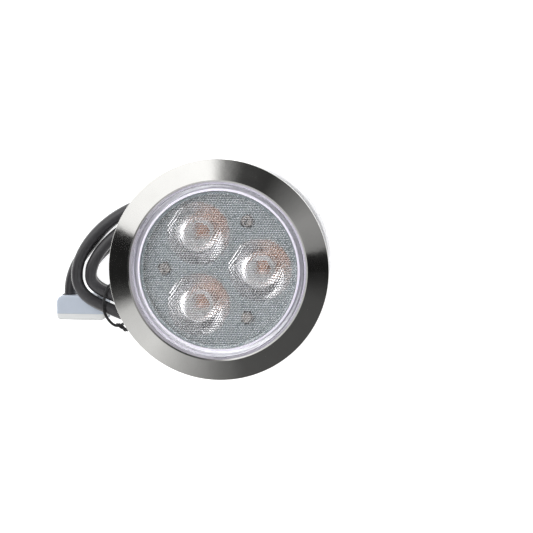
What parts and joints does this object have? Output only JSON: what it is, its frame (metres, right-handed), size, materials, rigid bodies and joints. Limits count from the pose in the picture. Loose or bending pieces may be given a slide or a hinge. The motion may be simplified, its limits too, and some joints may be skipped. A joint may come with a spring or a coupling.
{
  "type": "recessed led spotlight",
  "caption": "Round recessed LED spotlight with a steel trim ring, a clear window over collimator lenses, and a coiled lead that ends in a hinged cable connector.",
  "frame": {"origin": "centre of the trim ring's seating plane", "axes": "+Z is the direction of the light, +X and +Y span the seating plane"},
  "size_m": [0.1124, 0.08, 0.0652],
  "materials": {
    "stainless": "satin turned stainless steel",
    "clear_plastic": "clear polycarbonate with a faint lilac tint",
    "lens_plastic": "clear acrylic, polished",
    "holder_grey": "moulded, matt",
    "zinc_steel": "zinc plated",
    "led_package": "phosphor over white ceramic",
    "board_white": "white solder mask",
    "pad_grey": "silicone pad",
    "sink_aluminium": "as cast",
    "brass_parts": "bright",
    "board_green": "green solder mask",
    "ferrite": "sintered ferrite",
    "copper_wire": "enamelled copper",
    "capacitor_sleeve": "shrink sleeve",
    "chip_black": "moulded epoxy",
    "wire_red": "insulated wire",
    "wire_black": "insulated wire",
    "wire_brown": "insulated wire",
    "wire_blue": "insulated wire",
    "seal_rubber": "soft seal",
    "gland_plastic": "glass filled nylon",
    "cable_jacket": "smooth, slightly glossy jacket",
    "tie_plastic": "coated wire",
    "connector_grey": "fine moulded grain",
    "connector_pale": "fine moulded grain"
  },
  "bodies": {
    "housing": {"lens_cup": "clear_plastic", "collimator_a": "lens_plastic", "collimator_b": "lens_plastic", "collimator_c": "lens_plastic", "lens_holder": "holder_grey", "optics_screws": "zinc_steel", "led_a": "led_package", "led_b": "led_package", "led_c": "led_package", "led_board": "board_white", "thermal_pad": "pad_grey", "heat_sink": "sink_aluminium", "board_standoffs": "brass_parts", "driver_board": "board_green", "driver_screws": "zinc_steel", "inductor_core": "ferrite", "inductor_winding": "copper_wire", "input_capacitor": "capacitor_sleeve", "output_capacitor": "capacitor_sleeve", "rectifier": "chip_black", "driver_chip": "chip_black", "led_wire_red": "wire_red", "led_wire_black": "wire_black", "supply_wire_brown": "wire_brown", "supply_wire_blue": "wire_blue", "rear_cap": "clear_plastic", "cap_gasket": "seal_rubber", "gland_body": "gland_plastic", "gland_o_ring": "seal_rubber", "gland_locknut": "gland_plastic", "gland_bush": "seal_rubber", "gland_nut": "gland_plastic"},
    "trim_ring": {"bezel_ring": "stainless"},
    "lead": {"lead_cable": "cable_jacket", "twist_tie": "tie_plastic", "connector_base": "connector_grey", "lead_grommet": "seal_rubber", "piercing_contacts": "brass_parts", "hinge_pin": "zinc_steel"},
    "connector_cover": {"connector_lid": "connector_pale", "lid_seal": "seal_rubber"}
  },
  "joints": [
    {"name": "ring_twist", "type": "hinge", "parent": "housing", "child": "trim_ring", "pos_m": [0, 0, 0], "axis": [0, 0, 1], "range_deg": [0, 16]},
    {"name": "lead_swivel", "type": "hinge", "parent": "housing", "child": "lead", "pos_m": [0, 0, -0.0525], "axis": [0, 0, 1], "range_deg": [-60, 60]},
    {"name": "connector_hinge", "type": "hinge", "parent": "lead", "child": "connector_cover", "pos_m": [-0.0627, -0.0251, -0.0605], "axis": [1, 0, 0], "range_deg": [0, 90]}
  ]
}
